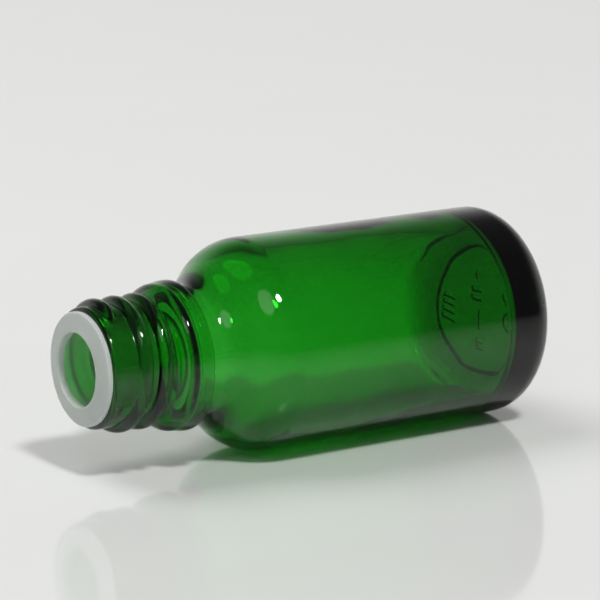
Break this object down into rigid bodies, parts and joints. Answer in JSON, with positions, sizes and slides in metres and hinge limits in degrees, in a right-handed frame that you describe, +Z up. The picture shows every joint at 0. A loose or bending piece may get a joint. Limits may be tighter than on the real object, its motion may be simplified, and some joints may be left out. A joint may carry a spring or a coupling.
{
  "type": "dropper bottle",
  "caption": "Small round glass bottle with a threaded neck and a soft pouring ring pressed into its mouth, lying on its side.",
  "frame": {"origin": "under the middle of the overall length, on the surface the bottle lies on", "axes": "+Y along the bottle's axis towards its base, the mouth faces -Y, +Z up"},
  "size_m": [0.0286, 0.0672, 0.0285],
  "materials": {
    "green_glass": "fire polished",
    "milky_polyethylene": "moulded satin"
  },
  "bodies": {
    "bottle": {"glass_bottle": "green_glass"},
    "ring": {"pouring_ring": "milky_polyethylene"}
  },
  "joints": [
    {"name": "ring_pull", "type": "slide", "parent": "bottle", "child": "ring", "axis": [0, -1, 0], "range_m": [0, 0.014]}
  ]
}
